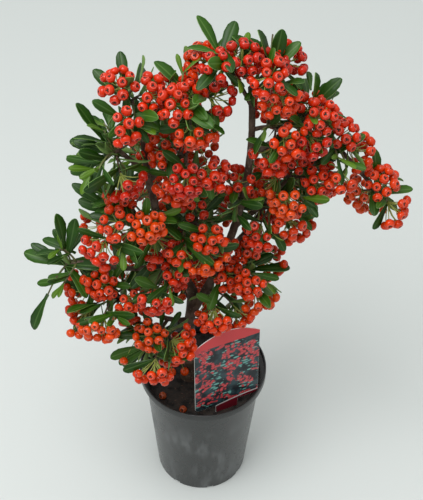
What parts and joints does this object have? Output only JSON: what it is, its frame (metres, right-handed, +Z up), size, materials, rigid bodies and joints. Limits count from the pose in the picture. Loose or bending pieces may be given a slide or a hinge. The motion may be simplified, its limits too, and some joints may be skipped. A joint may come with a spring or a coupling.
{
  "type": "firethorn shrub in a pot",
  "caption": "Fruiting firethorn shrub: upright leaders and arching boughs with glossy leaves and clusters of orange-red berries, in a tapered nursery pot with a picture card.",
  "frame": {"origin": "middle of the pot's flat underside", "axes": "+Z up, the crown's fan spreads along X with its long arm towards +X, -Y is the side that the picture is taken from"},
  "size_m": [0.3542, 0.184, 0.5631],
  "materials": {
    "pot_plastic": "charcoal nursery pot plastic, smooth with soft scuffs",
    "compost": "dark damp compost with fibres and bark crumbs",
    "card": "coated printed card with a red head band and a plain leaf and berry pattern",
    "bark": "grey-brown young bark with raised pores",
    "foliage": "glossy dark green leaves, green stalks and orange-red berries"
  },
  "bodies": {
    "root": {"back_left_bough": "bark", "back_left_mass": "foliage", "back_low_bough": "bark", "back_low_mass": "foliage", "back_middle_mass": "foliage", "back_right_bough": "bark", "back_right_mass": "foliage", "compost": "compost", "crest_left_mass": "foliage", "crest_right_mass": "foliage", "heart_mass": "foliage", "inner_foot_mass": "foliage", "inner_mass": "foliage", "left_arm_bough": "bark", "left_arm_mass": "foliage", "left_belly_mass": "foliage", "left_flank_mass": "foliage", "left_hip_bough": "bark", "left_hip_mass": "foliage", "left_leader": "bark", "left_shoulder_bough": "bark", "left_shoulder_mass": "foliage", "left_skirt_mass": "foliage", "middle_mass": "foliage", "picture_card": "card", "pot": "pot_plastic", "right_arm_bough": "bark", "right_breast_mass": "foliage", "right_elbow_mass": "foliage", "right_foot_mass": "foliage", "right_leader": "bark", "right_low_mass": "foliage", "right_shoulder_mass": "foliage", "right_tip_mass": "foliage", "right_waist_bough": "bark", "right_waist_mass": "foliage", "top_inner_mass": "foliage", "top_left_mass": "foliage", "trunk": "bark"}
  },
  "joints": []
}
